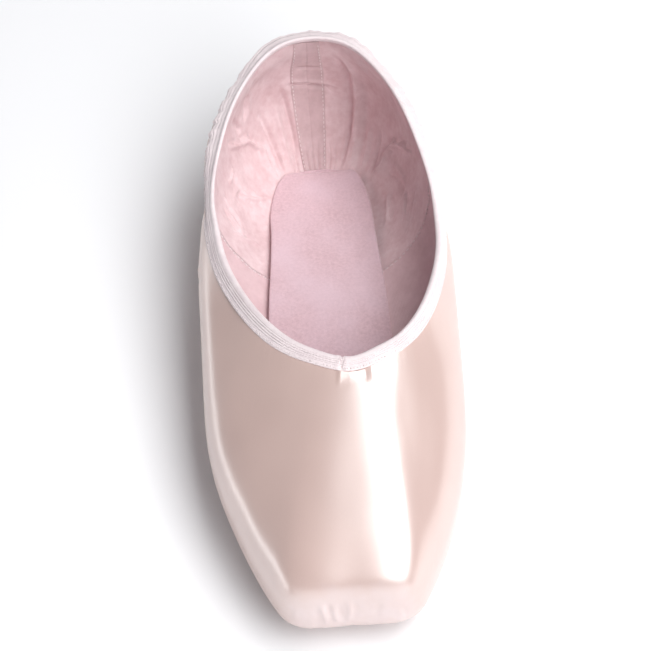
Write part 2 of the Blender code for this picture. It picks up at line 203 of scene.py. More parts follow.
def last_rows():
    """The stations round the shoe: x, y, z of the side, x, y of the feather edge and x, y, z of the rim."""
    half_width = BALL_WIDTH / 2
    rows = []
    for name, shares in LAST.items():
        side_y, side_x, side_z, sole_y, sole_x, rim_y, rim_x, rim_z = shares
        side = (side_x * half_width, side_y * LENGTH, side_z * INSTEP_HEIGHT)
        sole = (sole_x * half_width, sole_y * LENGTH)
        rim = (rim_x * half_width, rim_y * LENGTH, rim_z * HEEL_HEIGHT)
        rows.append([*side, *sole, *rim, *BEND[name]])
    rows = np.array(rows)
    other_side = rows[-2:0:-1].copy()
    other_side[:, (0, 3, 5)] *= -1
    rows = np.vstack([rows, other_side])
    for x, y in ((0, 1), (3, 4)):
        rows[:, x] += TOE_DRIFT * smooth(along("toe drift", rows[:, y]))
    rows[:, 5] += THROAT_DRIFT * along("throat drift", rows[:, 6])
    return rows


class ClosedSpline:
    """A closed cubic curve through rows of numbers, spaced by the distance between their first three."""

    def __init__(self, rows):
        chords = np.linalg.norm((np.roll(rows, -1, axis=0) - rows)[:, :3], axis=1)
        self.rows = rows
        self.knots = np.concatenate([[0], np.cumsum(chords)])
        count = len(rows)
        slope = (np.roll(rows, -1, axis=0) - rows) / chords[:, None]
        system = np.zeros((count, count))
        for i in range(count):
            system[i, i - 1] += chords[i - 1]
            system[i, i] += 2 * (chords[i - 1] + chords[i])
            system[i, (i + 1) % count] += chords[i]
        self.curl = np.linalg.solve(system, 6 * (slope - np.roll(slope, 1, axis=0)))

    def at(self, place):
        place = np.mod(place, self.knots[-1])
        i = np.searchsorted(self.knots, place, side="right") - 1
        i = np.clip(i, 0, len(self.rows) - 1)
        j = (i + 1) % len(self.rows)
        before = (place - self.knots[i])[:, None]
        after = (self.knots[i + 1] - place)[:, None]
        width = before + after
        return (
            (self.curl[i] * after**3 + self.curl[j] * before**3) / (6 * width)
            + (self.rows[i] / width - self.curl[i] * width / 6) * after
            + (self.rows[j] / width - self.curl[j] * width / 6) * before
        )


SPLINE = ClosedSpline(last_rows())
STATION = dict(zip(LAST, SPLINE.knots))
ROUND = SPLINE.knots[-1]


def column(values):
    return values[:, None]


def plan_direction(vectors):
    flat = vectors * (1, 1, 0)
    return flat / column(np.linalg.norm(flat, axis=1))


def meridians(place):
    """The four control points of the lower and of the upper arc at each place, and the wall's stiffness."""
    row = SPLINE.at(place)
    side, rim = row[:, 0:3], row[:, 5:8]
    sole = np.column_stack([row[:, 3:5], feather_height(row[:, 4])])
    sole_out, sole_rise, side_down, side_up, rim_out, rim_fall, stiff = row[:, 8:].T
    sole_run = np.linalg.norm((side - sole)[:, :2], axis=1)
    rim_run = np.linalg.norm((side - rim)[:, :2], axis=1)
    rim_reach = np.linalg.norm(side - rim, axis=1)
    fall = np.arctan2(rim[:, 2] - side[:, 2], rim_run) + np.radians(rim_fall)
    sole_pull = plan_direction(side - sole) + column(np.tan(np.radians(sole_rise))) * UP
    rim_pull = plan_direction(side - rim) * column(np.cos(fall)) - column(np.sin(fall)) * UP
    lower = (
        sole,
        sole + column(sole_out * sole_run) * sole_pull,
        side - column(side_down * (side - sole)[:, 2]) * UP,
        side,
    )
    upper = (
        side,
        side + column(side_up * (rim - side)[:, 2]) * UP,
        rim + column(rim_out * rim_reach) * rim_pull,
        rim,
    )
    return lower, upper, stiff


def arc(points, share):
    share = column(share)
    rest = 1 - share
    a, b, c, d = points
    return a * rest**3 + 3 * b * rest**2 * share + 3 * c * rest * share**2 + d * share**3


def surface(place, height):
    """The last's surface, for any arrays of places and heights of one shape."""
    place, height = np.broadcast_arrays(np.asarray(place, float), np.asarray(height, float))
    flat_place, flat_height = place.ravel(), height.ravel()
    lower, upper, _ = meridians(flat_place)
    below = arc(lower, np.clip(flat_height, 0, 1))
    above = arc(upper, np.clip(flat_height - 1, 0, 1))
    return np.where(column(flat_height < 1), below, above).reshape(*place.shape, 3)


def outward(place, height):
    """The unit normal of the last's surface, away from the foot."""
    place, height = np.broadcast_arrays(np.asarray(place, float), np.asarray(height, float))
    low = np.clip(height - SLOPE_STEP, 0, RIM)
    high = np.clip(height + SLOPE_STEP, 0, RIM)
    onward = surface(place + SLOPE_STEP, height) - surface(place - SLOPE_STEP, height)
    normal = np.cross(surface(place, high) - surface(place, low), onward)
    return normal / np.linalg.norm(normal, axis=-1)[..., None]


def wall(place, height):
    """The box's layers are thick round the toes and run out towards the rim."""
    place, height = np.broadcast_arrays(np.asarray(place, float), np.asarray(height, float))
    start, end = WALL_FADE
    stiff = meridians(place.ravel())[2].reshape(place.shape)
    share = stiff * (1 - smooth((height - start) / (end - start)))
    return QUARTER_WALL + (BOX_WALL - QUARTER_WALL) * np.clip(share, 0, 1)


def beside(place, height, offset):
    """Points beside the last, offset along its outward normal."""
    points = surface(place, height)
    return points + outward(place, height) * np.broadcast_to(offset, points.shape[:-1])[..., None]


def between(table, place, share):
    """A table's values between its rows of shares (0 to 1) and its columns of places round the shoe."""
    place, share = np.broadcast_arrays(place, share)
    across = np.mod(place, ROUND) / ROUND * (table.shape[1] - 1)
    up = np.clip(share, 0, 1) * (table.shape[0] - 1)
    i = np.minimum(across.astype(int), table.shape[1] - 2)
    j = np.minimum(up.astype(int), table.shape[0] - 2)
    s, t = across - i, up - j
    lower = table[j, i] * (1 - s) + table[j, i + 1] * s
    return lower * (1 - t) + (table[j + 1, i] * (1 - s) + table[j + 1, i + 1] * s) * t


def cloth_tables():
    """The whole length up the last at each place, and the height at each share of that length."""
    places = np.linspace(0, ROUND, TABLE_PLACES)
    heights = np.linspace(0, RIM, TABLE_STEPS)
    points = surface(*np.meshgrid(places, heights))
    steps = np.linalg.norm(np.diff(points, axis=0), axis=2)
    lengths = np.vstack([np.zeros(len(places)), np.cumsum(steps, axis=0)])
    shares = np.linspace(0, 1, TABLE_STEPS)
    found = [np.interp(shares * row[-1], row, heights) for row in lengths.T]
    return lengths[-1:], np.stack(found, axis=1)


WHOLE, HEIGHTS = cloth_tables()


def whole_up(place):
    """Metres up the last from the feather edge to the rim."""
    return between(np.vstack([WHOLE, WHOLE]), place, 0.0)


def height_at(place, share):
    return between(HEIGHTS, place, share)


def up_to(place, length):
    """The height that lies a length up from the feather edge."""
    return height_at(place, length / whole_up(place))


def below_rim(place, length):
    return height_at(place, 1 - length / whole_up(place))


# Smooth hills and folds on the unrolled cloth


def soft_noise(u, v, size, seed):
    """Smooth hills of about this size, from -1 to 1, the same each run."""
    lattice = np.random.default_rng(seed).uniform(-1, 1, (LATTICE, LATTICE))
    a, b = u / size, v / size
    i, j = np.floor(a).astype(int), np.floor(b).astype(int)
    s, t = smooth(a - i), smooth(b - j)
    i, j, i_next, j_next = i % LATTICE, j % LATTICE, (i + 1) % LATTICE, (j + 1) % LATTICE
    near = lattice[i, j] * (1 - s) + lattice[i_next, j] * s
    far = lattice[i, j_next] * (1 - s) + lattice[i_next, j_next] * s
    return near * (1 - t) + far * t


def folds(u, v, table):
    """Soft ridges and troughs, each a bowed line on the cloth with a hollow along one side."""
    total = np.zeros(np.shape(u))
    for start_u, start_v, end_u, end_v, bow, width, height in np.array(table) * MILLIMETRE:
        run_u, run_v = end_u - start_u, end_v - start_v
        length = math.hypot(run_u, run_v)
        ahead = ((u - start_u) * run_u + (v - start_v) * run_v) / length**2
        aside = ((v - start_v) * run_u - (u - start_u) * run_v) / length
        aside = aside - bow * 4 * ahead * (1 - ahead)
        ends = smooth((ahead + 0.12) / 0.35) * smooth((1.12 - ahead) / 0.35)
        crest = np.exp(-((aside / width) ** 2))
        hollow = 0.45 * np.exp(-(((aside - 1.5 * width) / (1.1 * width)) ** 2))
        total += height * ends * (crest - hollow)
    return total


# Meshes


def quads(rows, columns, closed_up, closed_round):
    """Faces of a grid whose points are numbered row by row."""
    row = np.arange(rows if closed_up else rows - 1)
    col = np.arange(columns if closed_round else columns - 1)
    r, c = np.meshgrid(row, col, indexing="ij")
    r_next, c_next = (r + 1) % rows, (c + 1) % columns
    corners = (r * columns + c, r_next * columns + c, r_next * columns + c_next, r * columns + c_next)
    return np.stack(corners, axis=-1).reshape(-1, 4)


def new_object(name, points, faces, finish, slot, map_points=None):
    """A smooth-shaded mesh that rides on the shoe, with its unrolled cloth as a UV map in metres."""
    mesh = bpy.data.meshes.new(name)
    mesh.from_pydata(np.asarray(points).tolist(), [], [tuple(face) for face in faces])
    if map_points is not None:
        layer = mesh.uv_layers.new(name="cloth")
        index = np.empty(len(mesh.loops), np.int32)
        mesh.loops.foreach_get("vertex_index", index)
        layer.data.foreach_set("uv", np.asarray(map_points, np.float32)[index].ravel())
    mesh.shade_smooth()
    mesh.materials.append(finish)
    made = bpy.data.objects.new(name, mesh)
    bpy.context.scene.collection.objects.link(made)
    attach(made, "root")
    return made


def shell(name, outer, inner, outer_maps, inner_maps, finish, slot):
    """A closed sheet with an outer and an inner face, each a grid of rows upwards and columns round."""
    columns = outer.shape[1]
    loop = np.concatenate([outer, inner[::-1]])
    maps = np.concatenate([outer_maps, inner_maps[::-1]])
    faces = quads(len(loop), columns, closed_up=True, closed_round=False).tolist()
    first = [row * columns for row in range(len(loop))]
    last = [corner + columns - 1 for corner in first]
    faces += [first[::-1], last]
    return new_object(name, loop.reshape(-1, 3), faces, finish, slot, maps.reshape(-1, 2))


def few_rows(rows):
    """The rows that are enough for a face that doesn't show."""
    return np.linspace(0, rows - 1, HIDDEN_ROWS).round().astype(int)


def threads(paths, facing, radius, sides=6):
    """Points and faces of round threads along many short paths, each thinner at its ends."""
    ahead = np.gradient(paths, axis=1)
    ahead /= np.linalg.norm(ahead, axis=2)[..., None]
    across = np.cross(ahead, facing)
    across /= np.linalg.norm(across, axis=2)[..., None]
    upright = np.cross(across, ahead)
    steps = paths.shape[1]
    thick = radius * np.sqrt(np.clip(1 - np.linspace(-1, 1, steps) ** 4, 0.15, 1))
    turn = np.linspace(0, 2 * math.pi, sides, endpoint=False)
    ring = across[:, :, None] * np.cos(turn)[:, None] + upright[:, :, None] * np.sin(turn)[:, None]
    points = paths[:, :, None] + ring * thick[:, None, None]
    one = quads(steps, sides, closed_up=False, closed_round=True).tolist()
    one += [list(range(sides)), [(steps - 1) * sides + i for i in range(sides)][::-1]]
    faces = [[i + k * steps * sides for i in face] for k in range(len(paths)) for face in one]
    return points.reshape(-1, 3), faces


def stitches(name, line, facing, slot, pitch=0.0021, length=0.0015, radius=0.00017, lean=0.0):
    """Separate stitches along a line of surface points, each coming out of the cloth and going back in."""
    run = np.concatenate([[0], np.cumsum(np.linalg.norm(np.diff(line, axis=0), axis=1))])
    share = np.linspace(0, 1, 5)
    at = np.arange(pitch / 2, run[-1] - length, pitch)[:, None] + length * share
    paths = np.stack([np.interp(at, run, line[:, axis]) for axis in range(3)], axis=-1)
    normals = np.stack([np.interp(at, run, facing[:, axis]) for axis in range(3)], axis=-1)
    aside = np.cross(normals, np.gradient(paths, axis=1))
    aside /= np.linalg.norm(aside, axis=2)[..., None]
    rise = radius * (1.3 * np.sin(math.pi * share) - 0.6)
    paths = paths + normals * rise[:, None] + aside * (lean * (share - 0.5))[:, None]
    new_object(name, *threads(paths, normals, radius), THREAD, slot)


# Where the panels meet. The side seams of the satin slant forward as they go down, and those of the lining
# lie further back.
TIP = STATION["tip"]
SEAM_FOOT = (STATION["wing"] + STATION["side seam"]) / 2
SEAM_TOP = STATION["quarter"]
LINING_SEAM_FOOT = 0.0965
LINING_SEAM_TOP = 0.0915


def side_seam(share):
    """Place of the satin's side seam on the +X side, at a share of the way up."""
    return SEAM_FOOT + (SEAM_TOP - SEAM_FOOT) * share


def lining_seam(share):
    return LINING_SEAM_FOOT + (LINING_SEAM_TOP - LINING_SEAM_FOOT) * share


def binding_width(place):
    throat = smooth(along("binding throat", surface(place, RIM)[..., 1]))
    return BINDING_WIDTH + (BINDING_THROAT_WIDTH - BINDING_WIDTH) * throat


def under_binding(place):
    """How far below the rim the satin ends, hidden by the binding."""
    return binding_width(place) - UNDER_BINDING


def panel(start_of, end_of, rows, columns, top_of):
    """Places, shares and heights of a panel's grid, from the feather edge to a length below the rim."""
    share = np.linspace(0, 1, rows)[:, None]
    across = np.linspace(0, 1, columns)[None, :]
    place = start_of(share) + (end_of(share) - start_of(share)) * across
    top = 1 - top_of(place) / whole_up(place)
    share = share * top
    return place, share, height_at(place, share)


# Relief of the cloth, in metres outwards
GATHER_PITCH = 0.0085
RUFFLE_DEPTH = 0.0030
RUFFLE_FALL = 0.020


def pleat_relief(place, height):
    """The pleats under the toe as the part has them, with the cloth between them drawn tight."""
    start, end = STATION["ball"], TIP
    width = (end - start) / PLEATS_PER_SIDE
    one_side = np.minimum(place, ROUND - place)
    pleat = (one_side - start) / width
    fold = np.interp(np.mod(pleat, 1), (0, 0.40, 0.82, 1), (1, 0.40, 0, 1))
    grown = smooth((one_side - start) / (STATION["box"] - start)) * (pleat > 0)
    fade = 1 - smooth((height - 0.40) / 0.42)
    return -PLEAT_DEPTH * fold * grown * fade


def gathers(w, pitch):
    """Uneven gathers of drawn cloth round the shoe, from -1 to 1."""
    drift = 0.9 * soft_noise(w, 0 * w, 0.013, 5)
    wave = np.sin(2 * math.pi * w / pitch + 2.4 * drift)
    fine = np.sin(2 * math.pi * w / (0.41 * pitch) + 3.1 * drift)
    size = 0.70 + 0.30 * soft_noise(w, 0 * w, 0.009, 6)
    return size * (0.70 * wave + 0.30 * fine)


def ruffle(w):
    """How far the drawstring's gathers push the binding's lower edge out: most at the left of the heel."""
    reach = np.abs(w) / SEAM_TOP
    side = 0.70 + 0.30 * smooth((0.03 - w) / 0.06)
    strength = smooth((1.02 - reach) / 0.34) * side
    return RUFFLE_DEPTH * strength * (0.86 + 0.20 * gathers(w, GATHER_PITCH))


VAMP_FOLDS = (
    # start_u start_v end_u end_v bow width height
    (-8.8, 52.5, -7.4, 43, 0.3, 0.8, 0.88),
    (-5.2, 51.5, -4.2, 43.5, -0.3, 0.8, 0.76),
    (-0.8, 52.5, -1.2, 43, 0.3, 0.7, 0.66),
    (8, 53, 6.5, 45, 0, 1.1, -0.25),
    (13.5, 50, 15, 42, 0, 1, 0.2),
    (-12, 50, -12.5, 41, 0, 1.1, 0.18),
    (-18.5, 52, -20, 44, 0, 1, -0.16),
    (-161, 44, -156, 49, 0.3, 0.8, 0.35),
    (-157, 43, -152, 49, 0.3, 0.9, -0.3),
    (150, 56, 148, 48, 0, 1.2, 0.16),
)
THROAT_PUCKER = ((-0.0084, -0.0064, 0.0100, 0.0138), (0, 0.00028, -0.00036, 0))
WING_LIFT = 0.0007
WING_REACH = 0.005


def vamp_relief(place, share, height, below):
    """Pleats, the stretch of satin over the block, puckers by the binding and the folds listed in a table."""
    u, v = TIP - place, share * whole_up(place)
    drawn = 0.00002 * gathers(u, 0.0075) * smooth(1 - below / 0.009)
    waves = 0.00016 * soft_noise(u, v, 0.034, 11) + 0.00004 * soft_noise(u, v, 0.013, 12)
    near_edge = smooth((height - 0.15) / 0.5)
    block = np.exp(-((u / 0.026) ** 2) - ((v - 0.0475) / 0.0075) ** 2)
    mottled = 0.00012 * soft_noise(u, v, 0.0030, 13) + 0.00007 * soft_noise(u, v, 0.0016, 14)
    from_seam = np.minimum(place - side_seam(share), ROUND - place - side_seam(share))
    wing = WING_LIFT * np.exp(-((from_seam / WING_REACH) ** 2)) * smooth((share - 0.60) / 0.3)
    side = np.where(u < 0, 1.0, 0.45)
    pucker = np.interp(u, *THROAT_PUCKER) * smooth((v - 0.1275) / 0.0045)
    placed = pucker + folds(u, v, VAMP_FOLDS)
    stretched = drawn + waves * near_edge + block * mottled
    return pleat_relief(place, height) + stretched + wing * side + placed


def quarter_relief(w, v, height, below):
    """The ruffle under the binding and soft waves of the cloth."""
    down = smooth(1 - below / RUFFLE_FALL)
    waves = 0.00030 * soft_noise(w, v, 0.022, 21) + 0.00012 * soft_noise(w, v, 0.009, 22)
    return ruffle(w) * down + waves * smooth(height / 0.4)


LINING_FOLDS = (
    # start_w start_v end_w end_v bow width height
    (-6.5, 54.8, 5, 53.2, 0, 0.8, -0.25),
    (-9.5, 45.2, 11, 39.8, 1, 1, -0.7),
    (12.2, 58, 15, 36, 0.8, 1.6, -0.8),
    (15.2, 38, 12.8, 8, 1.2, 1.6, -1.1),
    (18, 47, 20, 9, 1, 2.4, 0.85),
    (-13.8, 45, -11.2, 12, 1, 1.4, -0.65),
    (-18.5, 40, -16.5, 10, 1, 1.8, 0.5),
    (-25.6, 37, -22.5, 9, 1.2, 1.4, -0.6),
    (-31, 26, -29, 9, 0, 1.6, 0.4),
    (-52.7, 41.2, -35.3, 30.9, -1.2, 1.2, 0.55),
    (-38, 32.5, -27.9, 21.5, -1, 1.2, 0.55),
    (-45, 48, -40, 38, 0, 1.4, -0.4),
    (-33, 52, -35, 40, 0.8, 1.3, -0.45),
    (-67.8, 26.2, -59, 23.5, 0.6, 1.1, -0.55),
    (-61, 24, -46.1, 10.9, -1.4, 1.2, 0.6),
    (-73.7, 34.7, -77, 20.5, 0.6, 1, 0.5),
    (-79, 33, -81, 19, 0.4, 1, -0.45),
    (-85, 25, -78, 12, 0.6, 1.1, 0.45),
    (-56, 33, -64, 33, 0.8, 1.2, 0.4),
    (40.3, 15, 42.3, 24.5, -0.8, 1.1, 0.85),
    (42, 23.5, 47.5, 33, 1, 1.2, 0.9),
    (46.5, 32, 60, 38.5, 1, 1.3, 0.6),
    (47, 21.4, 67.8, 24, 1.6, 1.5, -0.7),
    (64, 24.5, 80, 22, 0.8, 1.3, 0.5),
    (34, 30, 36.5, 12, 0.8, 1.5, -0.6),
    (27, 28, 29, 11, 0, 1.8, 0.45),
    (56, 16, 70, 12, 0.6, 1.4, 0.5),
    (74, 33, 86, 20, 0, 1.2, -0.4),
)
HEEL_TUCKS = 0.0031
LINING_SLACK = 0.00045
LINING_PAD = 0.0007
FOLD_STRENGTH = 2.2


def lining_relief(w, v):
    """Hills, folds and the tucks at the heel of the insole, in metres into the shoe."""
    pad = LINING_PAD * smooth(v / 0.006) * smooth((whole_up(w) - v - 0.002) / 0.006)
    waves = 0.00050 * soft_noise(w, v, 0.013, 31) + 0.00018 * soft_noise(w, v, 0.0050, 32)
    low = smooth((0.0215 - v) / 0.010) * smooth((0.015 - np.abs(w + 0.003)) / 0.005)
    tucks = 0.00075 * (np.abs(np.sin(math.pi * w / HEEL_TUCKS + 0.5 * soft_noise(w, v, 0.006, 33))) - 0.6)
    total = pad + waves + low * tucks + FOLD_STRENGTH * folds(w, v, LINING_FOLDS)
    return np.where(total > 0, total, LINING_SLACK * np.tanh(total / LINING_SLACK))


# Materials


class Nodes:
    """A Principled material and short ways to add nodes to it."""

    def __init__(self, name, colour, roughness):
        self.material = bpy.data.materials.new(name)
        self.material.use_nodes = True
        self.tree = self.material.node_tree
        self.shader = self.tree.nodes["Principled BSDF"]
        self.set("Base Color", (*colour, 1))
        self.set("Roughness", roughness)
        self.set("Specular IOR Level", 0.5)

    def set(self, socket, value):
        self.shader.inputs[socket].default_value = value

    def link(self, source, target):
        self.tree.links.new(source, target)

    def fill(self, socket, value):
        """Link a node's output to a socket, or set a number there."""
        if isinstance(value, bpy.types.NodeSocket):
            self.link(value, socket)
        else:
            socket.default_value = value

    def node(self, kind, **inputs):
        made = self.tree.nodes.new(kind)
        for name, value in inputs.items():
            self.fill(made.inputs[name.replace("_", " ")], value)
        return made

    def stretched(self, source, scale):
        mapping = self.node("ShaderNodeMapping", Scale=scale)
        self.link(source, mapping.inputs["Vector"])
        return mapping.outputs["Vector"]

    def noise(self, vector, scale, detail=2.0, roughness=0.5):
        made = self.node("ShaderNodeTexNoise", Vector=vector, Scale=scale, Detail=detail, Roughness=roughness)
        return made.outputs["Fac"]

    def mixed(self, factor, first, second):
        made = self.tree.nodes.new("ShaderNodeMix")
        made.data_type = "RGBA"
        for index, value in ((0, factor), (6, first), (7, second)):
            self.fill(made.inputs[index], (*value, 1) if isinstance(value, tuple) else value)
        return made.outputs[2]

    def ramp(self, value, low, high):
        """Value from low to high drawn out to 0 to 1."""
        made = self.node("ShaderNodeMapRange", From_Min=low, From_Max=high, Value=value)
        return made.outputs["Result"]

    def maths(self, operation, first, second):
        made = self.tree.nodes.new("ShaderNodeMath")
        made.operation = operation
        for socket, value in zip(made.inputs, (first, second)):
            self.fill(socket, value)
        return made.outputs["Value"]

    def bump(self, height, distance, strength=1.0, onto=None):
        made = self.node("ShaderNodeBump", Height=height, Distance=distance, Strength=strength)
        if onto is not None:
            self.link(onto, made.inputs["Normal"])
        return made.outputs["Normal"]

    def cloth_map(self):
        made = self.tree.nodes.new("ShaderNodeUVMap")
        made.uv_map = "cloth"
        return made.outputs["UV"]

    def place(self):
        return self.tree.nodes.new("ShaderNodeTexCoord").outputs["Object"]


def satin():
    """Close warp floats that run from toe to heel, glossy across them, with a faint slub, and a painted
    reflection that pales the front face of the toe.
    """
    m = Nodes("satin", (0.66, 0.47, 0.415), 0.285)
    cloth = m.cloth_map()
    floats = m.noise(m.stretched(cloth, (9000, 900, 1)), 1.0, detail=1.0)
    slub = m.noise(m.stretched(cloth, (3200, 120, 1)), 1.0, detail=2.0)
    cloudy = m.noise(m.place(), 26.0)
    colour = m.mixed(m.ramp(cloudy, 0.35, 0.65), (0.67, 0.475, 0.425), (0.61, 0.425, 0.38))
    colour = m.mixed(m.maths("MULTIPLY", m.ramp(slub, 0.40, 0.75), 0.05), colour, (0.83, 0.64, 0.58))
    colour = m.mixed(m.maths("MULTIPLY", m.ramp(floats, 0.45, 0.75), 0.12), colour, (0.86, 0.68, 0.62))
    # Painted reflection: the front face of the toe is mixed towards a pale pink-grey, standing in for the
    # bright floor in front of it that the satin reflects.
    apart = m.node("ShaderNodeSeparateXYZ", Vector=m.place())
    uneven = m.maths("MULTIPLY", m.noise(m.place(), 180.0, detail=3.0), 0.006)
    forward = m.maths("SUBTRACT", uneven, apart.outputs["Y"])
    toe = m.ramp(forward, 0.1165, 0.1215)
    colour = m.mixed(m.maths("MULTIPLY", toe, 0.45), colour, (0.72, 0.60, 0.62))
    m.link(colour, m.shader.inputs["Base Color"])
    m.link(m.bump(floats, 0.00002, 0.2), m.shader.inputs["Normal"])
    m.set("Specular IOR Level", 1.0)
    m.set("IOR", 2.2)
    m.set("Sheen Weight", 0.30)
    m.set("Sheen Roughness", 0.3)
    return m.material


def cotton(name, first, second, thread=0.00045, nap=0.00008):
    """Plain woven cotton with a soft mottle. Returns the maker too, for what a cloth has of its own."""
    m = Nodes(name, first, 0.9)
    cloth = m.cloth_map()
    warp = m.node("ShaderNodeTexWave", Vector=m.stretched(cloth, (1 / thread, 0, 0)), Scale=0.31)
    weft = m.node("ShaderNodeTexWave", Vector=m.stretched(cloth, (0, 1 / thread, 0)), Scale=0.31)
    weft.bands_direction = "Y"
    weave = m.maths("ADD", warp.outputs["Fac"], weft.outputs["Fac"])
    mottle = m.ramp(m.noise(m.place(), 420.0, detail=3.0, roughness=0.6), 0.3, 0.7)
    cloudy = m.ramp(m.noise(m.place(), 110.0, detail=3.0, roughness=0.6), 0.35, 0.65)
    shade = m.maths("ADD", m.maths("MULTIPLY", mottle, 0.45), m.maths("MULTIPLY", cloudy, 0.55))
    colour = m.mixed(shade, first, second)
    m.link(colour, m.shader.inputs["Base Color"])
    fuzz = m.bump(m.noise(m.place(), 2600.0), nap, 0.6)
    m.link(m.bump(weave, 0.00005, 0.5, onto=fuzz), m.shader.inputs["Normal"])
    m.set("Sheen Weight", 0.25)
    m.set("Sheen Roughness", 0.5)
    return m, colour


def binding_cotton():
    """Fine corded tape, with the shade in the needle holes between the stitches at its lower edge painted as
    dark dots.
    """
    m, colour = cotton("binding_cotton", (0.76, 0.65, 0.67), (0.88, 0.78, 0.79), thread=0.0003)
    apart = m.node("ShaderNodeSeparateXYZ", Vector=m.cloth_map())
    turn = m.maths("FRACT", m.maths("DIVIDE", apart.outputs["X"], EDGE_PITCH), 0.0)
    near_hole = m.maths("LESS_THAN", m.maths("ABSOLUTE", m.maths("SUBTRACT", turn, 0.5), 0.0), 0.11)
    from_row = m.maths("ABSOLUTE", m.maths("SUBTRACT", apart.outputs["Y"], EDGE_ROW), 0.0)
    in_row = m.maths("LESS_THAN", from_row, 0.00028)
    uneven = m.ramp(m.noise(m.place(), 330.0), 0.42, 0.58)
    # Painted shade: dark dots where the needle holes are, standing in for the shade inside them.
    hole_shade = m.maths("MULTIPLY", m.maths("MULTIPLY", near_hole, in_row), uneven)
    colour = m.mixed(m.maths("MULTIPLY", hole_shade, 0.75), colour, (0.28, 0.17, 0.18))
    m.link(colour, m.shader.inputs["Base Color"])
    return m.material


def suede():
    """Napped suede, brushed unevenly, with a paler bloom."""
    m = Nodes("suede", (0.60, 0.40, 0.44), 0.95)
    nap = m.noise(m.place(), 900.0, detail=4.0, roughness=0.65)
    fine = m.noise(m.place(), 3200.0, detail=2.0)
    brushed = m.noise(m.place(), 60.0, detail=3.0)
    colour = m.mixed(m.ramp(nap, 0.3, 0.7), (0.545, 0.36, 0.40), (0.69, 0.49, 0.53))
    colour = m.mixed(m.maths("MULTIPLY", m.ramp(brushed, 0.35, 0.7), 0.55), colour, (0.71, 0.54, 0.605))
    colour = m.mixed(m.maths("MULTIPLY", m.ramp(fine, 0.5, 0.8), 0.3), colour, (0.76, 0.60, 0.63))
    m.link(colour, m.shader.inputs["Base Color"])
    m.link(m.bump(nap, 0.00016, 0.6, onto=m.bump(fine, 0.00006, 0.5)), m.shader.inputs["Normal"])
    m.set("Sheen Weight", 0.5)
    m.set("Sheen Roughness", 0.6)
    return m.material


def leather():
    """Buffed sole leather with a fine grain, cloudy stains and short scuffs along the shoe."""
    m = Nodes("sole_leather", (0.50, 0.34, 0.25), 0.6)
    grain = m.node("ShaderNodeTexVoronoi", Vector=m.place(), Scale=1500.0).outputs["Distance"]
    cloudy = m.noise(m.place(), 45.0, detail=5.0, roughness=0.6)
    scuffs = m.ramp(m.noise(m.stretched(m.place(), (900, 70, 300)), 1.0, detail=3.0), 0.62, 0.72)
    colour = m.mixed(m.ramp(cloudy, 0.3, 0.7), (0.50, 0.345, 0.255), (0.63, 0.465, 0.36))
    colour = m.mixed(m.maths("MULTIPLY", scuffs, 0.4), colour, (0.72, 0.58, 0.48))
    m.link(colour, m.shader.inputs["Base Color"])
    m.link(m.bump(grain, 0.00010, 0.5, onto=m.bump(scuffs, 0.00005, 0.5)), m.shader.inputs["Normal"])
    return m.material


def thread():
    """Twisted sewing thread."""
    m = Nodes("thread", (0.84, 0.74, 0.74), 0.55)
    twist = m.noise(m.place(), 4000.0)
    m.link(m.mixed(twist, (0.76, 0.64, 0.65), (0.90, 0.82, 0.82)), m.shader.inputs["Base Color"])
    m.link(m.bump(twist, 0.00004, 0.5), m.shader.inputs["Normal"])
    m.set("Sheen Weight", 0.2)
    return m.material


def plain_cotton(name, first, second, **weave):
    return cotton(name, first, second, **weave)[0].material


SATIN = satin()
LINING = plain_cotton("lining_cotton", (0.66, 0.46, 0.475), (0.83, 0.665, 0.68))
BOX_LINING = plain_cotton("box_lining", (0.62, 0.43, 0.45), (0.74, 0.55, 0.57), thread=0.0006, nap=0.00005)
# The tape's colours are darker than the lining's: painted shade of the heel's inner wall.
TAPE = plain_cotton("tape_cotton", (0.545, 0.39, 0.40), (0.70, 0.53, 0.545), thread=0.0004)
BINDING = binding_cotton()
SUEDE = suede()
LEATHER = leather()
THREAD = thread()


# Pieces


def satin_panel(name, place, share, height, lift):
    maps = np.stack([TIP - place, share * whole_up(place)], axis=-1)
    outer = beside(place, height, lift)
    few = few_rows(len(place))
    under = np.minimum(np.maximum(lift - SATIN_CLOTH, -SATIN_CLOTH), lift - 0.0001)
    inner = beside(place[few], height[few], under[few])
    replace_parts(shell(name, outer, inner, maps, maps[few], SATIN, "satin"), "upper")


def vamp():
    place, share, height = panel(side_seam, lambda s: ROUND - side_seam(s), 150, 470, under_binding)
    below = (1 - share) * whole_up(place) - binding_width(place)
    lift = VAMP_PROUD + vamp_relief(place, share, height, below)
    satin_panel("vamp", place, share, height, lift)


def quarters():
    """Two panels from the back seam to the side seams, which they pass a little way under the vamp."""
    for name, side in (("quarter_right", 1), ("quarter_left", -1)):
        place, share, height = panel(
            lambda s: 0 * s + TAPE_DRIFT + side * BACK_SEAM_GAP,
            lambda s: side * (side_seam(s) + QUARTER_LAP),
            90,
            260,
            under_binding,
        )
        if side < 0:
            place, share, height = place[:, ::-1], share[:, ::-1], height[:, ::-1]
        whole = whole_up(place)
        below = (1 - share) * whole - binding_width(place)
        lift = quarter_relief(place, share * whole, height, below)
        at_seam = smooth(1 - (side_seam(share) - np.abs(place)) / 0.006)
        at_back = np.exp(-(((place - TAPE_DRIFT) / 0.0010) ** 2))
        lift = lift * (1 - at_seam) - (QUARTER_SUNK + SATIN_CLOTH) * at_seam - BACK_SEAM_SINK * at_back
        satin_panel(name, place, share, height, lift)


def lining_panel(name, place, share, height, lift, finish):
    maps = np.stack([place, share * whole_up(place)], axis=-1)
    inside = -wall(place, height) + lift
    outer = beside(place, height, inside + LINING_CLOTH)
    inner = beside(place, height, inside)
    few = few_rows(len(place))
    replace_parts(shell(name, outer[few], inner, maps[few], maps, finish, "lining_cotton"), "upper")


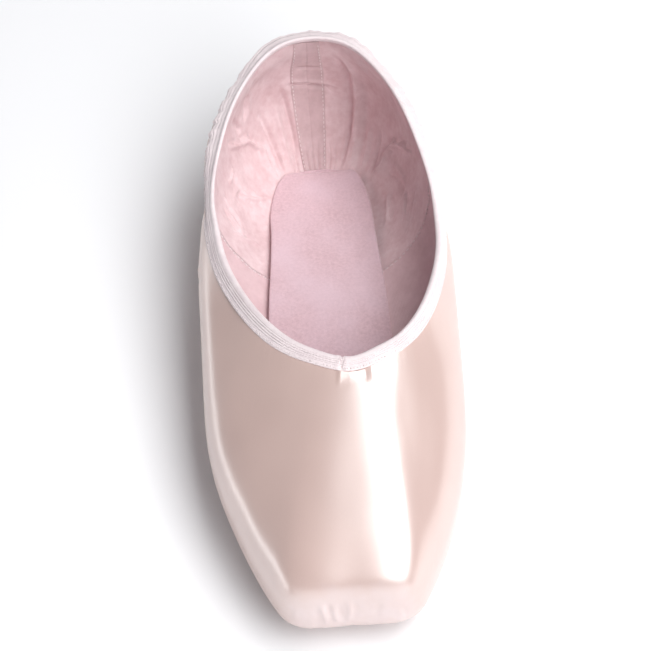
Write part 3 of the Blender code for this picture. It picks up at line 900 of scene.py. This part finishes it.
def linings():
    """The quarters' lining round the heel, and the box's lining in front, lapped over it at a sewn edge."""

    def top(place):
        return LINING_BELOW_RIM + 0 * place

    place, share, height = panel(
        lambda s: -lining_seam(s) - LINING_LAP, lambda s: lining_seam(s) + LINING_LAP, 120, 560, top
    )
    lift = -lining_relief(place, share * whole_up(place))
    lining_panel("quarter_lining", place, share, height, lift, LINING)
    place, share, height = panel(lining_seam, lambda s: ROUND - lining_seam(s), 80, 300, top)
    v = share * whole_up(place)
    w = np.where(place > TIP, place - ROUND, place)
    near_seam = smooth(1 - (np.abs(w) - lining_seam(share)) / 0.012)
    waves = 0.00025 * soft_noise(place, v, 0.02, 41)
    lift = -BOX_LINING_PROUD - lining_relief(w, v) * near_seam - waves * (1 - near_seam)
    lining_panel("box_lining", place, share, height, lift, BOX_LINING)
    for name, side in (("lining_seam_stitches_right", 1), ("lining_seam_stitches_left", -1)):
        share = np.linspace(0.04, 0.93, 200)
        w = side * (lining_seam(share) + 0.0012)
        height = height_at(w, share)
        inside = -wall(w, height) - BOX_LINING_PROUD - lining_relief(w, share * whole_up(w))
        stitches(name, beside(w, height, inside), -outward(w, height), "lining_cotton")


# The tack that draws the binding in at the middle of the throat
TACK_U = -0.0052
TACK_WIDTH = 0.0011
TACK_DEPTH = 0.00032


def tack_pinch(place):
    u = TIP - place - TACK_U
    dip = np.exp(-((u / TACK_WIDTH) ** 2))
    swell = np.exp(-(((np.abs(u) - 2.3 * TACK_WIDTH) / (1.2 * TACK_WIDTH)) ** 2))
    return TACK_DEPTH * (dip - 0.45 * swell)


# The binding is plump to the right of the throat and slim over the rim behind the wings, and below the rim it
# puffs out round the heel
PLUMP_DEPTH = 0.0014
PLUMP_U = 0.0165
PLUMP_WIDTH = 0.0120
SLIM_FROM = 0.125
SLIM_RUN = 0.03
SLIM_ROLL = 0.42
SLIM_DRAWN = 0.0010
SLIM_SHIFT = 0.0005
PUFF_DEPTH = 0.0028
PUFF_FROM = 0.040
PUFF_RUN = 0.025
PUFF_BELOW = 0.0024
PUFF_WIDTH = 0.0015


def binding_rings(place):
    """Functions that give points of the binding at each place: outside, inside, and rolled over the rim."""
    half_wall = wall(place, RIM) / 2
    rim = surface(place, RIM)
    normal = outward(place, RIM)
    rising = rim - surface(place, RIM - SLOPE_STEP)
    rising /= column(np.linalg.norm(rising, axis=1))
    width = binding_width(place)
    pushed = ruffle(np.where(place > TIP, place - ROUND, place))
    pinch = tack_pinch(place)
    plump = PLUMP_DEPTH * np.exp(-(((TIP - place - PLUMP_U) / PLUMP_WIDTH) ** 2))
    from_back = np.minimum(place, ROUND - place)
    slim = smooth((SLIM_FROM - from_back) / SLIM_RUN)
    uneven = 0.9 + 0.15 * gathers(from_back, GATHER_PITCH)
    puff = PUFF_DEPTH * smooth((PUFF_FROM - from_back) / PUFF_RUN) * uneven

    def outside(below, offset):
        full = min(1.0, offset / BINDING_CLOTH)
        puffed = puff * np.exp(-(((below - PUFF_BELOW) / PUFF_WIDTH) ** 2))
        drawn = SLIM_DRAWN * slim * smooth(1 - below / 0.003) - puffed
        lift = offset - full * (drawn + pinch) + pushed * smooth(1.3 * below / width)
        return beside(place, below_rim(place, below), lift)

    def inside(below, offset):
        height = below_rim(place, below)
        return beside(place, height, -wall(place, height) - offset - plump)

    def rolled(degrees, cloth):
        turn = math.radians(degrees)
        pinched = pinch * min(1.0, cloth / BINDING_CLOTH)
        radius = column((half_wall + cloth - pinched) * (1 - SLIM_ROLL * slim))
        inward = 0.5 - 0.5 * math.cos(turn)
        shift = half_wall + plump * inward + SLIM_SHIFT * slim
        middle = rim - column(shift) * normal + column(0.5 * plump * math.sin(turn)) * rising
        return middle + radius * (math.cos(turn) * normal + math.sin(turn) * rising)

    return width, outside, inside, rolled


def binding():
    """Tape folded over the rim: ribbed outside, rolled on top, and turned in just past the rim."""
    place = np.linspace(0, ROUND, 1100, endpoint=False)
    width, outside, inside, rolled = binding_rings(place)
    rings = [outside(width - BINDING_CLOTH, BINDING_SEAT)]
    full, half_cloth = BINDING_SEAT + BINDING_CLOTH, BINDING_CLOTH / 2
    for degrees in (-90, -45, 0, 45, 80):
        turn = math.radians(degrees)
        lift = BINDING_SEAT + half_cloth * (1 + math.sin(turn))
        rings.append(outside(width - half_cloth + half_cloth * math.cos(turn), lift))
    steps = 40
    for step in range(1, steps):
        share = step / steps
        round_rib = abs(math.sin(math.pi * (BINDING_RIBS * share + 0.5))) ** 0.5
        rib = RIB_DEPTH * (round_rib - 0.6) * float(smooth((share - 0.18) * 6) * smooth((1 - share) * 9))
        rings.append(outside((width - BINDING_CLOTH) * (1 - share) + 0.0004 * share, full + rib))
    rings += [rolled(degrees, full) for degrees in np.linspace(12, 165, 12)]
    rings.append(inside(BINDING_TURN * 0.7, full * 0.8))
    rings.append(inside(BINDING_TURN, full * 0.6))
    rings.append(inside(BINDING_TURN, BINDING_SEAT))
    rings += [rolled(degrees, BINDING_SEAT) for degrees in (180, 90, 0)]
    points = np.array(rings)
    rises = np.linalg.norm(np.diff(points, axis=0), axis=2)
    up = np.vstack([np.zeros(len(place)), np.cumsum(rises, axis=0)])
    maps = np.stack([np.broadcast_to(place, up.shape), up], axis=-1)
    faces = quads(len(points), len(place), closed_up=True, closed_round=True).tolist()
    points, maps = points.reshape(-1, 3), maps.reshape(-1, 2)
    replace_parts(new_object("collar_binding", points, faces, BINDING, "binding_cotton", maps), "collar_casing")


def edge_stitches():
    """The row of small leaning stitches that holds the lower edge of the binding."""
    place = np.linspace(0, ROUND, 2400)
    width, outside, _, _ = binding_rings(place)
    line = outside(width - EDGE_UP, BINDING_SEAT + BINDING_CLOTH)
    normals = outward(place, below_rim(place, width))
    sizes = (EDGE_PITCH, EDGE_STITCH, EDGE_THREAD, EDGE_LEAN)
    stitches("binding_stitches", line, normals, "binding_cotton", *sizes)


def tack():
    """Threads crossed over the pinch in the middle of the throat."""
    marks = (
        # start_u start_below end_u end_below, from the middle of the pinch
        (-0.0020, -0.0010, 0.0014, 0.0028),
        (0.0019, -0.0011, -0.0012, 0.0030),
        (-0.0024, 0.0004, 0.0021, 0.0012),
        (0.0004, -0.0014, 0.0001, 0.0036),
        (0.0024, 0.0006, 0.0007, 0.0040),
        (-0.0010, -0.0012, -0.0019, 0.0026),
    )
    share = np.linspace(0, 1, 9)
    paths, facing = [], []
    for start_u, start_below, end_u, end_below in marks:
        place = TIP - TACK_U - (start_u + (end_u - start_u) * share)
        below = start_below + (end_below - start_below) * share
        _, outside, _, rolled = binding_rings(place)
        full = BINDING_SEAT + BINDING_CLOTH
        flat = outside(np.maximum(below, 0.0004), full)
        turned = [rolled(20 - 60 * past / 0.001, full)[i] for i, past in enumerate(below)]
        path = np.where(column(below) > 0, flat, np.array(turned))
        normals = outward(place, RIM) + UP * 0.8
        normals /= column(np.linalg.norm(normals, axis=1))
        paths.append(path + normals * column(0.00006 + 0.00022 * np.sin(math.pi * share)))
        facing.append(normals)
    new_object("throat_tack", *threads(np.array(paths), np.array(facing), 0.00010), THREAD, "binding_cotton")


SOLE_POINTS = 480


def sole_margin(place):
    y = surface(place, 0.0)[..., 1]
    at_heel = smooth(along("outsole heel", y))
    at_toe = smooth(along("outsole toe", y))
    at_waist = 1 - at_heel - at_toe
    return OUTSOLE_HEEL_MARGIN * at_heel + OUTSOLE_TOE_MARGIN * at_toe + OUTSOLE_WAIST_MARGIN * at_waist


def lid(ring, first, across, facing_up, dish=0.0):
    """Points and faces that close a ring with a fine grid, from each point to its fellow across it."""
    count = len(ring)
    half = count // 2
    share = np.linspace(0, 1, across + 1)[1:-1, None]
    near, far = ring[1:half], ring[:half:-1]
    inner = near[:, None] + (far - near)[:, None] * share[None]
    inner[..., 2] -= dish * 4 * (share * (1 - share))[None, :, 0]
    index = np.empty((half - 1, across + 1), int)
    index[:, 0] = first + np.arange(1, half)
    index[:, -1] = first + np.arange(count - 1, half, -1)
    index[:, 1:-1] = first + count + np.arange((half - 1) * (across - 1)).reshape(half - 1, across - 1)
    faces = [[first, *index[0]], [first + half, *index[-1][::-1]]]
    corners = (index[:-1, :-1], index[1:, :-1], index[1:, 1:], index[:-1, 1:])
    faces += np.stack(corners, axis=-1).reshape(-1, 4).tolist()
    return inner.reshape(-1, 3), [face[::-1] for face in faces] if facing_up else faces


def solid_sole(name, rings, finish, slot, across=16, dish=0.0):
    """A solid through rings, closed below and above by fine lids."""
    count = len(rings[0])
    points = [np.vstack(rings)]
    faces = quads(len(rings), count, closed_up=False, closed_round=True).tolist()
    first = len(points[0])
    top, top_faces = lid(rings[-1], (len(rings) - 1) * count, across, True, dish)
    points.append(top)
    faces += top_faces
    under, under_faces = lid(rings[0], 0, across, False)
    shift = first + len(top) - count
    faces += [[i if i < count else i + shift for i in face] for face in under_faces]
    points.append(under)
    return new_object(name, np.vstack(points), faces, finish, slot)


def insole():
    """The suede sock on its board, lapped up the wall a little and rounded at its upper edge."""
    place = np.linspace(0, ROUND, SOLE_POINTS, endpoint=False)
    w = np.where(place > TIP, place - ROUND, place)
    left = smooth((-w - 0.052) / 0.020) * smooth((w + 0.152) / 0.020)
    right = smooth((w - 0.018) / 0.010) * smooth((0.110 - w) / 0.040)
    open_by = INSOLE_GAP_LEFT * left + INSOLE_GAP_RIGHT * right
    corners = smooth((np.abs(w) - 0.012) / 0.012) * smooth((0.190 - np.abs(w)) / 0.110)
    margin = INSOLE_MARGIN + INSOLE_CORNER * corners

    def lapped(share, lift):
        height = up_to(place, margin * share)
        return beside(place, height, -wall(place, height) - GAP - open_by) + lift * UP

    def drawn_in(ring, distance):
        onward = np.roll(ring, -1, axis=0) - np.roll(ring, 1, axis=0)
        return ring + distance * plan_direction(np.cross(onward, UP))

    board = drawn_in(surface(place, 0.0), 2 * GAP)
    board_top = np.hstack([board[:, :2], lapped(0.0, 0.0)[:, 2:]])
    rings = [board, board_top, lapped(0.5, 0.0), lapped(1.0, 0.0)]
    for drop, inset in ((0.0006, 0.0), (0.0002, 0.0002), (0.0, 0.0006), (0.0, 0.0012)):
        rings.append(drawn_in(lapped(1.0, INSOLE_THICKNESS - drop), inset))
    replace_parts(solid_sole("insole_sock", rings, SUEDE, "suede", dish=0.0003), "insole")


def outsole():
    """The leather sole, flat in the middle and pared thin at its edge."""
    place = np.linspace(0, ROUND, SOLE_POINTS, endpoint=False)
    margin = sole_margin(place)

    def top(share):
        return beside(place, up_to(place, margin * share), GAP)

    def bottom(share):
        pared = (OUTSOLE_THICKNESS - OUTSOLE_EDGE) * share**2
        return top(share) - (OUTSOLE_THICKNESS - pared) * UP

    rings = [bottom(share) for share in (0.0, 0.3, 0.55, 0.75, 0.9, 0.97, 1.0)]
    rings += [top(share) for share in (1.0, 0.97, 0.75, 0.55, 0.3, 0.0)]
    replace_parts(solid_sole("leather_sole", rings, LEATHER, "sole_leather"), "outsole")


def tape():
    """Tape over the back seam inside the heel, sewn down at both edges, with the seam showing through it."""
    rows, columns = 110, 41
    across = TAPE_DRIFT + np.linspace(-0.5, 0.5, columns)[None, :] * TAPE_WIDTH
    low, high = TAPE_FROM, whole_up(np.zeros(1))[0] - TAPE_BELOW_RIM
    v = np.linspace(low, high, rows)[:, None] + 0 * across
    place = across + 0 * v

    def face(place, v, offset):
        height = up_to(place, v)
        return beside(place, height, -wall(place, height) - lining_relief(place, v) - offset)

    edge = smooth((TAPE_WIDTH / 2 - np.abs(place - TAPE_DRIFT)) / 0.0012)
    seam = 0.00022 * np.exp(-(((place - TAPE_DRIFT) / 0.00035) ** 2))
    inner = face(place, v, TAPE_LIFT * (0.05 + 0.95 * edge) - seam)
    maps = np.stack([place, v], axis=-1)
    made = shell("heel_tape", face(place, v, 0.0), inner, maps, maps, TAPE, "lining_cotton")
    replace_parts(made, "back_seam_tape")
    for name, side in (("tape_stitches_left", -1), ("tape_stitches_right", 1)):
        v = np.linspace(low + 0.001, high - 0.001, 240)
        place = TAPE_DRIFT + side * (TAPE_WIDTH / 2 - 0.0008) + 0 * v
        line, facing = face(place, v, TAPE_LIFT), -outward(place, up_to(place, v))
        stitches(name, line, facing, "lining_cotton", pitch=0.0017, length=0.0012, radius=0.00015)


# Stage, light and camera
PHOTO_SIZE = 651
CAMERA_ELEVATION = 50.0
CAMERA_DISTANCE = 0.8
CAMERA_FOCAL = 2230.0
CAMERA_ROLL = -3.72
ORIGIN_PIXEL = (331.8, 366.6)
SENSOR = 36.0
FLOOR_HALF = 3.0
WORLD_STRENGTH = 0.195
OVERHEAD_WATTS = 24.5
CARD_WATTS = 7.0


def facing_middle(name, data, location, turn):
    """An object that looks at the middle of the stage, turned about its line of sight."""
    made = bpy.data.objects.new(name, data)
    bpy.context.scene.collection.objects.link(made)
    back = np.array(location, float) / np.linalg.norm(location)
    side = np.array([1.0, 0.0, 0.0]) - back[0] * back
    side /= np.linalg.norm(side)
    side = math.cos(turn) * side + math.sin(turn) * np.cross(back, side)
    matrix = np.eye(4)
    matrix[:3] = np.column_stack([side, np.cross(back, side), back, location])
    made.matrix_world = matrix.T.tolist()
    return made


def camera():
    elevation = math.radians(CAMERA_ELEVATION)
    location = np.array([0.0, -math.cos(elevation), math.sin(elevation)]) * CAMERA_DISTANCE
    made = facing_middle("camera", bpy.data.cameras.new("camera"), location, math.radians(CAMERA_ROLL))
    made.data.sensor_width = SENSOR
    made.data.lens = CAMERA_FOCAL * SENSOR / PHOTO_SIZE
    made.data.shift_x = (PHOTO_SIZE / 2 - ORIGIN_PIXEL[0]) / PHOTO_SIZE
    made.data.shift_y = (ORIGIN_PIXEL[1] - PHOTO_SIZE / 2) / PHOTO_SIZE
    made.data.clip_start = 0.01
    bpy.context.scene.camera = made


def softbox(name, location, size, watts, turn=0.0):
    light = bpy.data.lights.new(name, "AREA")
    light.shape = "RECTANGLE"
    light.size, light.size_y = size
    light.energy = watts
    facing_middle(name, light, location, turn)


def stage():
    scene = bpy.context.scene
    scene.view_settings.view_transform = "Standard"
    mesh = bpy.data.meshes.new("floor")
    corners = [(x * FLOOR_HALF, y * FLOOR_HALF, 0) for x, y in ((-1, -1), (1, -1), (1, 1), (-1, 1))]
    mesh.from_pydata(corners, [], [(0, 1, 2, 3)])
    mesh.materials.append(Nodes("floor", (0.95, 0.95, 0.965), 0.8).material)
    floor = bpy.data.objects.new("floor", mesh)
    scene.collection.objects.link(floor)
    floor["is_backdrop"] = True
    world = bpy.data.worlds.new("studio")
    world.use_nodes = True
    background = world.node_tree.nodes["Background"]
    background.inputs["Color"].default_value = (0.93, 0.95, 1.0, 1)
    background.inputs["Strength"].default_value = WORLD_STRENGTH
    scene.world = world
    softbox("overhead", (0.495, -0.36, 1.0), (0.70, 2.2), OVERHEAD_WATTS, math.radians(2))
    softbox("front_card", (0.0, -1.7, 0.20), (2.6, 0.36), 0.4 * CARD_WATTS)
    softbox("left_card", (-1.7, 0.0, 0.11), (0.20, 2.6), 0.8 * CARD_WATTS)
    softbox("right_card", (1.7, 0.0, 0.20), (0.36, 2.6), 0.4 * CARD_WATTS)


vamp()
quarters()
linings()
binding()
edge_stitches()
tack()
insole()
outsole()
tape()
camera()
stage()

VISUAL_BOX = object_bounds()
boxes = {"cad": CAD_BOX, "visual": VISUAL_BOX}
{name: [[float(x) for x in corner] for corner in box] for name, box in boxes.items()}
